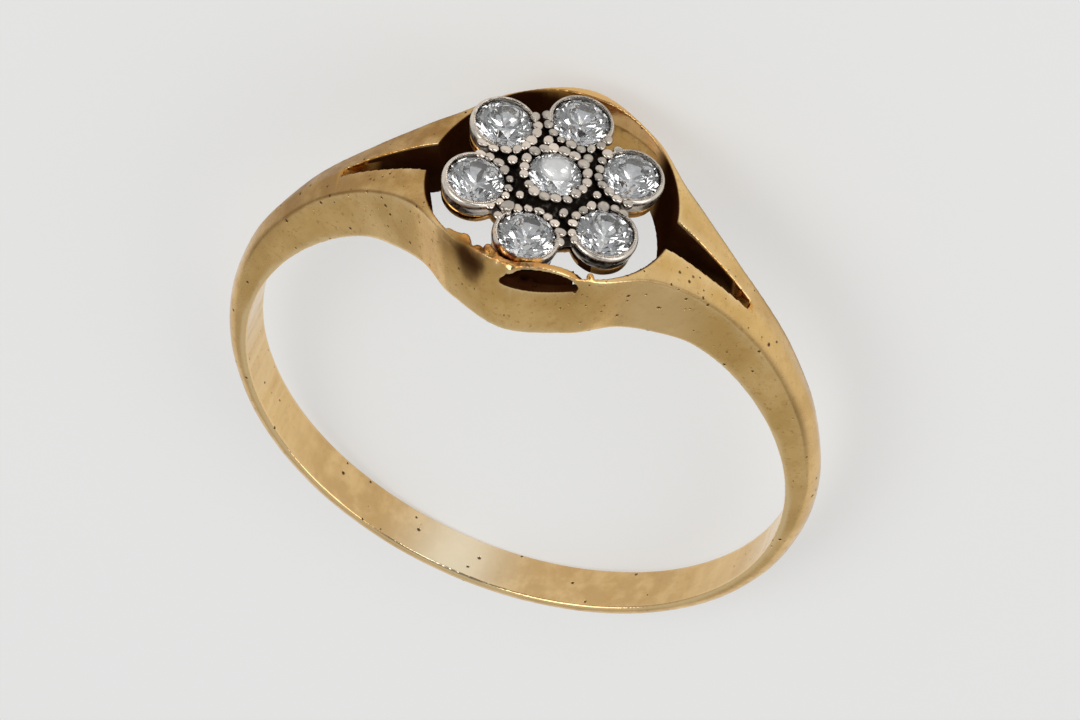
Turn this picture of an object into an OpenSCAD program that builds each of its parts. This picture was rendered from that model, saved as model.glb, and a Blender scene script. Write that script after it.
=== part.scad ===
// A finger ring lying on its side: a yellow metal shank with split shoulders
// and a round collar, and a white metal daisy cluster of seven round stones
// let into the collar. Sizes are in millimetres, +Z up, floor at z = 0.
// Every module draws in the ring's own frame: X runs across the shoulders,
// Y along the finger, Z out of the middle of the head. lay() then puts the
// ring down on its side, as it rests.

/* [Finger hole and band] */
// Radius of the finger hole
finger_radius = 8.65; // [8.4:0.05:8.9]
// Half width of the band opposite the head
band_half_width = 0.76; // [0.7:0.02:0.9]
// Thickness of the band opposite the head
band_thickness = 0.76; // [0.65:0.02:0.95]
// Size of the small bevel along the edges of the finger hole
edge_bevel = 0.07; // [0.05:0.01:0.1]

/* [Collar] */
// Half length of the collar's opening, across the shoulders
collar_half_length = 3.66; // [3.6:0.02:3.7]
// Half width of the collar's opening, along the finger
collar_half_width = 3.32; // [3.32:0.01:3.36]
// Half width of the head's wall where it meets the finger hole
head_half_width = 4.05; // [3.95:0.05:4.15]

/* [Slots in the shoulders] */
// Half width of a slot at the collar
slot_half_width = 0.57; // [0.45:0.02:0.65]
// Half width of a slot at its far end
slot_end_half_width = 0.14; // [0.06:0.01:0.14]
// Distance from the middle of the head to a slot's far end
slot_reach = 6.3; // [5.9:0.1:6.5]
// Length of the ramp that ends a slot
ramp_length = 0.6; // [0.4:0.05:0.8]

/* [Window in the front wall] */
// Length of the window along its sill
window_length = 2.3; // [2.2:0.05:2.4]
// Height of the window's arch above its sill
window_height = 0.78; // [0.7:0.02:0.8]
// Height of the sill above the finger's axis
window_sill = 10.24; // [10.15:0.05:10.25]
// Angle of the window round the head, from the front
window_angle = 12.5; // [5:0.5:18]
// Width of the strip of rim over the window
strip_width = 0.13; // [0.1:0.01:0.16]

/* [Cluster] */
// Distance from the middle stone to an outer stone
petal_pitch = 2.3; // [2.28:0.01:2.3]
// Angle of the first petal from the line of the shoulders
petal_angle = 28.8; // [26:0.2:32]
// Radius of a petal at its upper edge
petal_radius = 1; // [0.98:0.01:1]
// Height of the petals' upper edge above the finger's axis
cluster_level = 11; // [10.95:0.05:11.05]
// Slope of the cluster along the shoulders
cluster_slope = 5.6; // [4:0.2:6]
// Depth of the white metal of the cluster
setting_depth = 0.6; // [0.56:0.02:0.64]
// Depth of the yellow metal backing
backing_depth = 0.38; // [0.3:0.02:0.44]
// Radius of a grain of metal that holds the stones
grain_radius = 0.145; // [0.12:0.005:0.145]

/* [Stones] */
// Radius of an outer stone
petal_stone_radius = 0.84; // [0.8:0.01:0.86]
// Radius of the middle stone
middle_stone_radius = 0.78; // [0.74:0.01:0.8]

/* [Hidden] */

gold = [0.83, 0.66, 0.38];
white_metal = [0.78, 0.76, 0.72];
clear_stone = [0.9, 0.92, 0.94];
round_steps = 96;

// Clear seam between the cluster's white metal and its yellow backing
seam = 0.04;
// Clear gap between a stone and its seat
stone_gap = 0.025;
// Depth of the girdles below the petals' upper edge
girdle_drop = 0.11;
// Depth of the plate that carries the grains below the petals' upper edge
plate_drop = 0.2;
// How far the middle stone and its grains stand above the others
middle_rise = 0.2;
// Radius of the plate of white metal between the petals
hub_radius = 2.1;
// Width of the white metal that stands round the middle stone
middle_wall = 0.34;
// How much narrower a petal is at its foot, and the backing than the petals
petal_taper = 0.06;
backing_inset = 0.1;
// Radius inside which the petals' rims are open, short of the petals' pitch
rim_break = 0.3;
// Depth of the grains' middles below the petals' upper edge
grain_drop = 0.15;
backing_hole_radius = 0.42;
solder_radius = 0.34;
// Height of a slot's end ramp at its lower end, above the finger's axis, and its slope
ramp_level = 7.9;
ramp_slope = 20;
middle_grains = 18;
// Angles of the grains round the inner side of a petal
petal_grain_turns = [-74, -56, -37, -18, 0, 18, 37, 56, 74];
// The collar's opening is narrower towards the finger: level and radius of its
// narrow end, and the level where its upright upper part begins
taper_foot = 7;
taper_radius = 2.75;
taper_top = 10.1;
// Ledge of solder behind the window: its top, its inner radius and its half length
ledge_level = 10.1;
ledge_radius = 2.75;
ledge_half_length = 0.95;
// Cut of the stones, as shares of a stone's radius
table_share = 0.58;
crown_share = 0.32;
girdle_share = 0.04;
pavilion_share = 0.86;
// Lumps of solder on the rim: x, y, z and radius
lumps = [[-1.62, -2.95, 10.54, 0.17], [2.06, -2.76, 10.58, 0.12]];
// Outline of the flat lip of solder beside the rim, its underside and its top
lip_outline = [[-2.4, -2.85], [-2.25, -2.72], [-1.9, -2.76], [-1.68, -2.7], [-1.54, -2.8],
    [-1.45, -3.05], [-1.35, -3.25], [-1.9, -3.1]];
lip_level = 10.3;
lip_top = 10.68;

// One row for each place round the ring: angle from the head's middle,
// half width at the finger hole, half width at the crease, radius at the crease,
// radius at the top, and how round the section is, from 0, creased, to 1, domed
sections = [
    [0, head_half_width, 3.58, 10.92, 10.92, 0],
    [12, 3.33, 2.86, 10.8, 10.84, 0],
    [20, 2.3, 1.8, 10.7, 10.81, 0],
    [28, 1.66, 1.2, 10.47, 10.58, 0],
    [36, 1.18, 0.86, 10.23, 10.38, 0],
    [46, 0.95, 0.69, 9.99, 10.11, 0.1],
    [60, 0.85, 0.62, 9.68, 9.83, 0.4],
    [80, 0.8, 0.62, 9.33, 9.52, 0.8],
    [110, 0.78, 0.6, 9.08, 9.34, 1],
    [145, band_half_width + 0.01, 0.58, 9.02, 9.36, 1],
    [180, band_half_width, 0.58, 9.0, finger_radius + band_thickness, 1]
];

// Outer radius of the strip of rim over the window
strip_outer_radius = 3.56;
// How far the plain sections reach inside the finger hole before it is cut
inside_reach = 0.35;
// Angles of the sections, closer together at the head than round the band
head_end = 51;
head_steps = 20;
band_steps = 20;
half_angles = concat(
    [for (i = [0:head_steps]) head_end * i / head_steps],
    [for (i = [1:band_steps]) head_end + (180 - head_end) * i / band_steps]
);
all_angles = concat(
    [for (i = [len(half_angles) - 2:-1:1]) -half_angles[i]],
    half_angles
);
side_points = 4;
top_points = 3;

function slope_between(row, column) =
    (sections[row + 1][column] - sections[row][column])
    / (sections[row + 1][0] - sections[row][0]);
// Slope through a row: level where the values turn, so nothing overshoots
function slope_at(row, column) =
    row <= 0 || row >= len(sections) - 1 ? 0
    : let (before = slope_between(row - 1, column), after = slope_between(row, column))
      before * after <= 0 ? 0 : 2 * before * after / (before + after);
function row_below(angle, row = 0) =
    row >= len(sections) - 2 || angle < sections[row + 1][0] ? row : row_below(angle, row + 1);
// Value of one column of the table at an angle, on a smooth curve through the rows
function section_value(angle, column) =
    let (
        row = row_below(angle),
        span = sections[row + 1][0] - sections[row][0],
        u = (angle - sections[row][0]) / span
    )
    sections[row][column] * (1 + 2 * u) * (1 - u) * (1 - u)
    + span * slope_at(row, column) * u * (1 - u) * (1 - u)
    + sections[row + 1][column] * u * u * (3 - 2 * u)
    + span * slope_at(row + 1, column) * u * u * (u - 1);

function mix(a, b, share) = a + (b - a) * share;
// Half of a section, from the edge of the finger hole up to the middle of the top,
// as pairs of distance from the middle and radius
function half_section(angle) =
    let (
        half_width = section_value(angle, 1),
        crease = [section_value(angle, 2), section_value(angle, 3)],
        top_radius = section_value(angle, 4),
        roundness = section_value(angle, 5),
        foot = [half_width, finger_radius + edge_bevel],
        crown = [0, top_radius],
        last = side_points + top_points
    )
    [for (i = [0:last])
        let (
            flat = i <= side_points ? mix(foot, crease, i / side_points)
                : mix(crease, crown, (i - side_points) / top_points),
            turn = 90 * i / last,
            domed = [half_width * cos(turn), foot[1] + (top_radius - foot[1]) * sin(turn)]
        )
        mix(flat, domed, roundness)
    ];
function full_section(angle) =
    let (
        half = half_section(angle),
        last = len(half) - 1,
        inner = [half[0][0] - edge_bevel - inside_reach * 0.2, finger_radius - inside_reach]
    )
    concat(
        [inner],
        half,
        [for (i = [last - 1:-1:0]) [-half[i][0], half[i][1]]],
        [[-inner[0], inner[1]]]
    );
function ring_point(angle, spot) = [spot[1] * sin(angle), spot[0], spot[1] * cos(angle)];

// Tilt of the ring's side as it rests on the rear wall of the head and on the
// edge of the band, and how far its lowest point lies below the finger's axis
rest_tilt = atan((head_half_width - band_half_width) / (2 * (finger_radius + edge_bevel)));
rest_lift = max([for (spot = half_section(180))
    spot[0] * cos(rest_tilt) + spot[1] * sin(rest_tilt)]);
// Shift that centres the resting ring on the origin
rest_shift = -1.1125;
module lay() {
    translate([0, rest_shift, rest_lift])
        rotate([rest_tilt - 90, 0, 0])
            children();
}

// Plain swept body of the shank, before the finger hole and the openings are cut
module swept_body() {
    rings = [for (angle = all_angles) full_section(abs(angle))];
    count = len(rings);
    size = len(rings[0]);
    points = [for (i = [0:count - 1]) for (spot = rings[i]) ring_point(all_angles[i], spot)];
    faces = [for (i = [0:count - 1]) for (j = [0:size - 1])
        let (
            next_ring = (i + 1) % count,
            next_spot = (j + 1) % size,
            a = i * size + j,
            b = i * size + next_spot,
            c = next_ring * size + next_spot,
            d = next_ring * size + j,
            leaning = (all_angles[i] < 0) != (j < size / 2)
        )
        each (leaning ? [[c, b, a], [d, c, a]] : [[d, b, a], [d, c, b]])];
    polyhedron(points = points, faces = faces, convexity = 8);
}

// The collar's opening: round ends with a short straight stretch between them,
// narrower towards the finger
module collar_opening() {
    shift = collar_half_length - collar_half_width;
    for (side = [-1, 1])
        translate([side * shift, 0, 0]) {
            translate([0, 0, taper_foot])
                cylinder(r1 = taper_radius, r2 = collar_half_width,
                    h = taper_top - taper_foot, $fn = round_steps);
            translate([0, 0, taper_top])
                cylinder(r = collar_half_width, h = 3, $fn = round_steps);
        }
    translate([-shift, 0, 0])
        rotate([90, 0, 90])
            linear_extrude(height = 2 * shift)
                polygon([
                    [-taper_radius, taper_foot],
                    [taper_radius, taper_foot],
                    [collar_half_width, taper_top],
                    [collar_half_width, taper_top + 3],
                    [-collar_half_width, taper_top + 3],
                    [-collar_half_width, taper_top]
                ]);
}

// One slot between the two arms of a shoulder, with a ramp where it ends
module shoulder_slot() {
    start = collar_half_length - 0.8;
    difference() {
        translate([0, 0, 4])
            linear_extrude(height = 8)
                polygon([
                    [start, -slot_half_width * 1.12],
                    [slot_reach, -slot_end_half_width],
                    [slot_reach, slot_end_half_width],
                    [start, slot_half_width * 1.12]
                ]);
        translate([slot_reach - ramp_length, 0, ramp_level])
            rotate([0, -ramp_slope, 0])
                translate([0, -1, -5])
                    cube([5, 2, 5]);
    }
}

// Upright face of an arch on a straight sill, standing in the front wall
module wall_arch(grow, near, far) {
    half_length = window_length / 2;
    arch_radius = (half_length * half_length + window_height * window_height)
        / (2 * window_height);
    rotate([0, 0, window_angle])
        translate([0, -near, window_sill])
            rotate([90, 0, 0])
                intersection() {
                    translate([0, window_height - arch_radius, 0])
                        cylinder(r = arch_radius + grow, h = far - near, $fn = 160);
                    translate([-half_length - grow, -grow, -0.1])
                        cube([window_length + 2 * grow, window_height + 3 * grow, far]);
                }
}

// The thin strip of the collar's rim that runs over the window
module window_strip() {
    intersection() {
        wall_arch(strip_width, 2.6, 4.4);
        difference() {
            cylinder(r = strip_outer_radius, h = 14, $fn = round_steps);
            translate([0, 0, -1])
                cylinder(r = collar_half_width, h = 16, $fn = round_steps);
        }
    }
}

// Puts what follows into the cluster's own frame, z = 0 at the petals' upper edge
module in_cluster() {
    translate([0, 0, cluster_level])
        rotate([0, cluster_slope, 0])
            children();
}
module at_petal(number) {
    rotate([0, 0, petal_angle + 60 * number])
        translate([petal_pitch, 0, 0])
            children();
}

// Yellow metal backing under the cluster, open below each stone
module cluster_backing() {
    low = -setting_depth - seam - backing_depth;
    in_cluster()
        difference() {
            union() {
                translate([0, 0, low])
                    cylinder(r = hub_radius - backing_inset, h = backing_depth, $fn = round_steps);
                for (number = [0:5])
                    at_petal(number)
                        translate([0, 0, low])
                            cylinder(r = petal_radius - backing_inset, h = backing_depth, $fn = 64);
            }
            translate([0, 0, low - 1])
                cylinder(r = backing_hole_radius, h = backing_depth + 2, $fn = 48);
            for (number = [0:5])
                at_petal(number)
                    translate([0, 0, low - 1])
                        cylinder(r = backing_hole_radius, h = backing_depth + 2, $fn = 48);
        }
}

// Solder that joins the backing to the collar's front and rear walls
module solder_joints() {
    in_cluster()
        for (number = [1, 4])
            at_petal(number)
                translate([petal_radius - 0.02, 0, -setting_depth - seam - backing_depth])
                    cylinder(r = solder_radius, h = backing_depth - 0.02, $fn = 40);
}

// Solder that has run down inside the front wall and stands behind the window
module solder_ledge() {
    rotate([0, 0, window_angle])
        intersection() {
            difference() {
                cylinder(r = collar_half_width + 0.15, h = ledge_level, $fn = round_steps);
                cylinder(r = ledge_radius, h = ledge_level + 1, $fn = round_steps);
            }
            translate([-ledge_half_length, -4, 8])
                cube([2 * ledge_half_length, 3, 3]);
        }
}

// Small lumps of solder and a flat lip of it left on the collar's rim
module rim_lumps() {
    translate([0, 0, lip_level])
        linear_extrude(height = lip_top - lip_level)
            polygon(lip_outline);
    for (lump = lumps)
        translate([lump[0], lump[1], lump[2]])
            sphere(r = lump[3], $fn = 32);
}

module shank() {
    color(gold)
        lay() {
            difference() {
                union() {
                    difference() {
                        union() {
                            swept_body();
                            window_strip();
                        }
                        collar_opening();
                        shoulder_slot();
                        mirror([1, 0, 0])
                            shoulder_slot();
                    }
                    solder_ledge();
                    rim_lumps();
                }
                rotate([90, 0, 0])
                    cylinder(r = finger_radius, h = 14, center = true, $fn = round_steps);
                wall_arch(0, 2.6, 5);
            }
            cluster_backing();
            solder_joints();
        }
}

// Seat for a stone: a round pocket down to the girdle and a cone below it
module stone_seat(radius, girdle_level) {
    translate([0, 0, girdle_level - girdle_share * radius - stone_gap])
        cylinder(r = radius + stone_gap, h = 2, $fn = 64);
    depth = pavilion_share * radius;
    translate([0, 0, girdle_level - girdle_share * radius - stone_gap - depth])
        cylinder(r1 = 0.06, r2 = radius + stone_gap / 2, h = depth + 0.005, $fn = 64);
}

module grain(level) {
    translate([0, 0, level])
        sphere(r = grain_radius, $fn = 24);
}

// All the grains that hold the stones
module grains() {
    for (i = [0:middle_grains - 1])
        rotate([0, 0, (i + 0.5) * 360 / middle_grains])
            translate([middle_stone_radius + grain_radius + 1.5 * stone_gap, 0, 0])
                grain(middle_rise - grain_drop);
    for (number = [0:5]) {
        at_petal(number)
            for (turn = petal_grain_turns)
                rotate([0, 0, 180 + turn])
                    translate([petal_stone_radius + grain_radius + 1.5 * stone_gap, 0, 0])
                        grain(-grain_drop);
    }
}

// White metal of the cluster: a hub and six petals with raised outer rims
module cluster_setting() {
    color(white_metal)
        lay()
            in_cluster()
                difference() {
                    union() {
                        translate([0, 0, -setting_depth])
                            cylinder(r = hub_radius, h = setting_depth - plate_drop, $fn = round_steps);
                        translate([0, 0, -setting_depth])
                            cylinder(r = middle_stone_radius + middle_wall,
                                h = setting_depth - plate_drop + middle_rise, $fn = 64);
                        difference() {
                            for (number = [0:5])
                                at_petal(number)
                                    translate([0, 0, -setting_depth])
                                        cylinder(r1 = petal_radius - petal_taper, r2 = petal_radius,
                                            h = setting_depth, $fn = 64);
                            translate([0, 0, -plate_drop])
                                cylinder(r = petal_pitch - rim_break, h = 2, $fn = round_steps);
                        }
                        grains();
                    }
                    stone_seat(middle_stone_radius, middle_rise - girdle_drop);
                    for (number = [0:5])
                        at_petal(number)
                            stone_seat(petal_stone_radius, -girdle_drop);
                }
}

// Round brilliant stone with its girdle's upper edge at z = 0
module cut_stone(radius) {
    table_radius = table_share * radius;
    crown = crown_share * radius;
    pavilion = pavilion_share * radius;
    girdle = girdle_share * radius;
    star_radius = 0.8 * radius;
    // The stars' outer corners lie on the kite facets' planes
    star_level = crown * (radius - star_radius * cos(22.5)) / (radius - table_radius);
    culet_radius = 0.06 * radius;
    lower_radius = 0.3 * radius;
    lower_level = -girdle
        - pavilion * (radius - lower_radius * cos(22.5)) / (radius - culet_radius);
    function round_of(count, distance, level, first) =
        [for (i = [0:count - 1])
            [distance * cos(first + i * 360 / count), distance * sin(first + i * 360 / count), level]];
    points = concat(
        round_of(8, table_radius, crown, 0),
        round_of(8, star_radius, star_level, 22.5),
        round_of(16, radius, 0, 0),
        round_of(16, radius, -girdle, 0),
        round_of(8, lower_radius, lower_level, 22.5),
        round_of(8, culet_radius, -girdle - pavilion, 0)
    );
    star = 8;
    upper = 16;
    lower = 32;
    deep = 48;
    culet = 56;
    faces = concat(
        [[for (i = [7:-1:0]) i]],
        [for (i = [0:7]) [i, (i + 1) % 8, star + i]],
        [for (i = [0:7]) [i, star + i, upper + 2 * i, star + (i + 7) % 8]],
        [for (i = [0:7]) each [
            [star + i, upper + 2 * i + 1, upper + 2 * i],
            [star + i, upper + (2 * i + 2) % 16, upper + 2 * i + 1]
        ]],
        [for (i = [0:15]) [upper + i, upper + (i + 1) % 16, lower + (i + 1) % 16, lower + i]],
        [for (i = [0:7]) each [
            [deep + i, lower + 2 * i, lower + 2 * i + 1],
            [deep + i, lower + 2 * i + 1, lower + (2 * i + 2) % 16]
        ]],
        [for (i = [0:7]) [culet + i, deep + (i + 7) % 8, lower + 2 * i, deep + i]],
        [for (i = [0:7]) [culet + i, deep + i, culet + (i + 1) % 8]],
        [[for (i = [0:7]) culet + i]]
    );
    polyhedron(points = points, faces = faces, convexity = 4);
}

module middle_stone() {
    color(clear_stone)
        lay()
            in_cluster()
                translate([0, 0, middle_rise - girdle_drop])
                    cut_stone(middle_stone_radius);
}

module petal_stone(number) {
    color(clear_stone)
        lay()
            in_cluster()
                at_petal(number)
                    translate([0, 0, -girdle_drop])
                        rotate([0, 0, 17 * number])
                            cut_stone(petal_stone_radius);
}

module petal_stone_1() { petal_stone(0); }
module petal_stone_2() { petal_stone(1); }
module petal_stone_3() { petal_stone(2); }
module petal_stone_4() { petal_stone(3); }
module petal_stone_5() { petal_stone(4); }
module petal_stone_6() { petal_stone(5); }

shank();
cluster_setting();
middle_stone();
petal_stone_1();
petal_stone_2();
petal_stone_3();
petal_stone_4();
petal_stone_5();
petal_stone_6();
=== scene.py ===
import math

import bmesh
import bpy
import numpy as np
from mathutils import Matrix, Vector, noise


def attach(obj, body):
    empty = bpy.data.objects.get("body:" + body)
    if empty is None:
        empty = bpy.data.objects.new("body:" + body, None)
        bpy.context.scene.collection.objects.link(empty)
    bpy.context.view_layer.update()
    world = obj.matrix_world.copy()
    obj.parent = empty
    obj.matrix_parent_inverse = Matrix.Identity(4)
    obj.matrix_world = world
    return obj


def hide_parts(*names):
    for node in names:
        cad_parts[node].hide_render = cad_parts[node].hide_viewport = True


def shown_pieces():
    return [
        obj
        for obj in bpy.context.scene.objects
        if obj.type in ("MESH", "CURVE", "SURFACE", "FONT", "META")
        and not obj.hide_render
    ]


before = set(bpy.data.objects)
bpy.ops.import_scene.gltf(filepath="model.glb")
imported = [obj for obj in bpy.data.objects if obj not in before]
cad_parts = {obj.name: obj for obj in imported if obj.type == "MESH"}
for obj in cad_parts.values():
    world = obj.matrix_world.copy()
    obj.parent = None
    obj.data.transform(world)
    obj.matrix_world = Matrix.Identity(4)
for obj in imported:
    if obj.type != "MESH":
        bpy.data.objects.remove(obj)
scene = bpy.context.scene
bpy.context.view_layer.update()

# Everything is drawn in millimetres in the ring's own frame: x across the shoulders,
# y along the finger, z out of the head. layDown then puts it on its side, in metres.
ring = {
    "fingerRadius": 8.65,
    "edgeBevel": 0.07,
    "restTilt": math.atan((4.05 - 0.76) / (2 * 8.72)),
    "restShift": -1.1125,
    "restLift": 2.3731,
}
layDown = (
    Matrix.Scale(0.001, 4)
    @ Matrix.Translation((0, ring["restShift"], ring["restLift"]))
    @ Matrix.Rotation(ring["restTilt"] - math.pi / 2, 4, "X")
)


def smoothStep(low, high, value):
    u = np.clip((value - low) / (high - low), 0, 1)
    return u * u * (3 - 2 * u)


def inScene(name, data):
    obj = bpy.data.objects.new(name, data)
    scene.collection.objects.link(obj)
    return obj


def newObject(name, vertices, faces):
    mesh = bpy.data.meshes.new(name)
    mesh.from_pydata([tuple(v) for v in vertices], [], faces)
    mesh.update()
    return inScene(name, mesh)


def outwards(obj):
    work = bmesh.new()
    work.from_mesh(obj.data)
    bmesh.ops.recalc_face_normals(work, faces=work.faces)
    work.to_mesh(obj.data)
    work.free()
    return obj


def onCircle(radius, turn):
    return radius * math.cos(turn), radius * math.sin(turn)


def circle(radius, steps, start=0):
    return [onCircle(radius, 2 * math.pi * (i + start) / steps) for i in range(steps)]


def loft(name, rings, endless=False):
    # tube through rings of equally many points, closed at both ends or run into itself
    count, total = len(rings[0]), len(rings[0]) * len(rings)
    faces = [] if endless else [list(range(count))[::-1], list(range(total - count, total))]
    for start in range(0, total if endless else total - count, count):
        for i in range(count):
            a, b = start + i, start + (i + 1) % count
            faces.append([a, b, (b + count) % total, (a + count) % total])
    return outwards(newObject(name, [spot for row in rings for spot in row], faces))


def prism(name, outline, low, high):
    # upright prism over a plan outline
    return loft(name, [[(x, y, z) for x, y in outline] for z in (low, high)])


def lathe(name, profile, steps=64):
    # closed profile of (radius, height) pairs turned about z; a radius of 0 closes a pole
    vertices, rings = [], []
    for radius, height in profile:
        count = steps if radius > 1e-6 else 1
        rings.append(list(range(len(vertices), len(vertices) + count)))
        vertices += [(x, y, height) for x, y in circle(radius, steps)[:count]]
    faces = []
    closed = len(rings[0]) > 1
    for k in range(len(rings) if closed else len(rings) - 1):
        a, b = rings[k], rings[(k + 1) % len(rings)]
        for i in range(steps):
            j = (i + 1) % steps
            corners = a[i % len(a)], b[i % len(b)], b[j % len(b)], a[j % len(a)]
            faces.append(list(dict.fromkeys(corners)))
    return outwards(newObject(name, vertices, faces))


def placed(obj, matrix):
    obj.data.transform(matrix)
    return obj


def joined(name, parts):
    work = bmesh.new()
    for part in parts:
        work.from_mesh(part.data)
        bpy.data.objects.remove(part)
    mesh = bpy.data.meshes.new(name)
    work.to_mesh(mesh)
    work.free()
    return inScene(name, mesh)


def plain(obj):
    # turns the object with its modifiers into a plain mesh
    deps = bpy.context.evaluated_depsgraph_get()
    mesh = bpy.data.meshes.new_from_object(obj.evaluated_get(deps))
    obj.modifiers.clear()
    obj.data = mesh
    return obj


def tuned(made, values):
    for name, value in values.items():
        setattr(made, name, value)
    return made


def applied(obj, kind, **values):
    tuned(obj.modifiers.new(kind.lower(), kind), values)
    return plain(obj)


def carved(obj, other, operation, selfCrossing=False):
    applied(obj, "BOOLEAN", operation=operation, solver="EXACT", use_self=selfCrossing,
            object=other)
    bpy.data.objects.remove(other)
    return obj


def cutAway(obj, cutters, selfCrossing=False):
    for cutter in cutters:
        carved(obj, cutter, "DIFFERENCE", selfCrossing)
    return obj


def blended(obj, voxel, passes, most):
    # melts overlapping solids into one skin with softly worn edges
    applied(obj, "REMESH", mode="VOXEL", voxel_size=voxel)
    applied(obj, "SMOOTH", factor=0.5, iterations=passes)
    count = sum(len(p.vertices) - 2 for p in obj.data.polygons)
    if count > most:
        applied(obj, "DECIMATE", ratio=most / count)
    print("  ", obj.name, "melted from", count, "to", len(obj.data.polygons), "faces")
    return obj


def dressed(obj, matrix, material, replaced):
    # lays a finished piece down in the place of a packed one
    placed(obj, matrix)
    if material:
        obj.data.polygons.foreach_set("use_smooth", [True] * len(obj.data.polygons))
        obj.data.materials.clear()
        obj.data.materials.append(material)
    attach(obj, "root")
    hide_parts(replaced)
    print(obj.name + ": done,", len(obj.data.polygons), "faces")
    return obj


def spots(obj, what="co"):
    # place or normal of each vertex
    values = np.empty(len(obj.data.vertices) * 3)
    obj.data.vertices.foreach_get(what, values)
    return values.reshape(-1, 3)


def paint(obj, **layers):
    for name, values in layers.items():
        layer = obj.data.attributes.new(name, "FLOAT", "POINT")
        layer.data.foreach_set("value", np.clip(values, 0, 1).astype(np.float32))


def bending(obj, passes):
    # how far each spot stands out of its neighbourhood (+) or lies in it (-), in mm
    where = spots(obj)
    ends = np.empty(len(obj.data.edges) * 2, dtype=np.int32)
    obj.data.edges.foreach_get("vertices", ends)
    ends = ends.reshape(-1, 2)
    number = np.bincount(ends.ravel(), minlength=len(where)).clip(1)

    def around(values):
        total = np.zeros_like(values)
        np.add.at(total, ends[:, 0], values[ends[:, 1]])
        np.add.at(total, ends[:, 1], values[ends[:, 0]])
        return (total.T / number).T

    mean = where
    for _ in range(passes):
        mean = around(mean)
    out = ((where - mean) * spots(obj, "normal")).sum(axis=1)
    for _ in range(4):
        out = around(out)
    return out


def newMaterial(name):
    material = bpy.data.materials.new(name)
    material.use_nodes = True
    tree = material.node_tree
    return material, tree, tree.nodes["Principled BSDF"]


def node(tree, kind, **values):
    return tuned(tree.nodes.new(kind), values)


def feed(target, source):
    # links a socket to another, or sets its number or colour
    if isinstance(source, bpy.types.NodeSocket):
        target.id_data.links.new(source, target)
    else:
        target.default_value = (*source, 1) if isinstance(source, tuple) else source


def feedAll(target, values):
    for name, value in values.items():
        feed(target.inputs[name], value)


def objectMillimetres(tree):
    place = node(tree, "ShaderNodeTexCoord")
    scale = node(tree, "ShaderNodeVectorMath", operation="SCALE")
    scale.inputs["Scale"].default_value = 1000
    feed(scale.inputs[0], place.outputs["Object"])
    return scale.outputs[0]


def noiseAt(where, scale, detail=3, roughness=0.55, turned=None, stretched=None):
    tree = where.id_data
    if turned:
        turn = node(tree, "ShaderNodeMapping")
        turn.inputs["Rotation"].default_value = turned
        turn.inputs["Scale"].default_value = stretched
        feed(turn.inputs["Vector"], where)
        where = turn.outputs["Vector"]
    made = node(tree, "ShaderNodeTexNoise")
    feedAll(made, {"Scale": scale, "Detail": detail, "Roughness": roughness, "Vector": where})
    return made.outputs["Fac"]


def ranged(value, low, high, toLow=0.0, toHigh=1.0):
    made = node(value.id_data, "ShaderNodeMapRange", interpolation_type="SMOOTHSTEP")
    feedAll(made, {"Value": value, "From Min": low, "From Max": high, "To Min": toLow,
                   "To Max": toHigh})
    return made.outputs["Result"]


def treeOf(*values):
    return next(value.id_data for value in values if isinstance(value, bpy.types.NodeSocket))


def maths(operation, first, second):
    made = node(treeOf(first, second), "ShaderNodeMath", operation=operation)
    feedAll(made, {0: first, 1: second})
    return made.outputs[0]


def times(first, second):
    return maths("MULTIPLY", first, second)


def tinted(share, below, above):
    made = node(treeOf(share, below, above), "ShaderNodeMix", data_type="RGBA")
    feedAll(made, {0: share, 6: below, 7: above})
    return made.outputs[2]


def attribute(tree, name):
    return node(tree, "ShaderNodeAttribute", attribute_name=name).outputs["Fac"]


def raised(height, depth, under=None):
    made = node(height.id_data, "ShaderNodeBump")
    feedAll(made, {"Strength": 1, "Distance": depth, "Height": height})
    if under is not None:
        feed(made.inputs["Normal"], under)
    return made.outputs["Normal"]


goldLook = {
    "deep": (0.67, 0.41, 0.13),
    "pale": (0.88, 0.58, 0.23),
    "worn": (0.98, 0.72, 0.38),
    # dark of dirt and of painted shade
    "grime": (0.028, 0.0075, 0.0022),
    # tarnish, also the colour of painted shade
    "tarnish": (0.42, 0.22, 0.06),
    "solder": (0.72, 0.31, 0.08),
    "burnt": (0.13, 0.035, 0.009),
    # warm painted reflection of gold in gold
    "warm": (0.74, 0.36, 0.08),
    # pale painted highlight low inside the band
    "seam": (1.0, 0.88, 0.66),
    "roughLow": 0.15,
    "roughHigh": 0.31,
    "pitsPerMillimetre": 4.8,
    "waveDepth": 0.000014,
    "scratchDepth": 0.0000006,
    "crustDepth": 0.00006,
    "pitDepth": 0.00005,
}
# painted on the shank, read by its gold
goldMarks = ("wear", "grime", "pitted", "stain", "solder", "warm", "seam")


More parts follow.
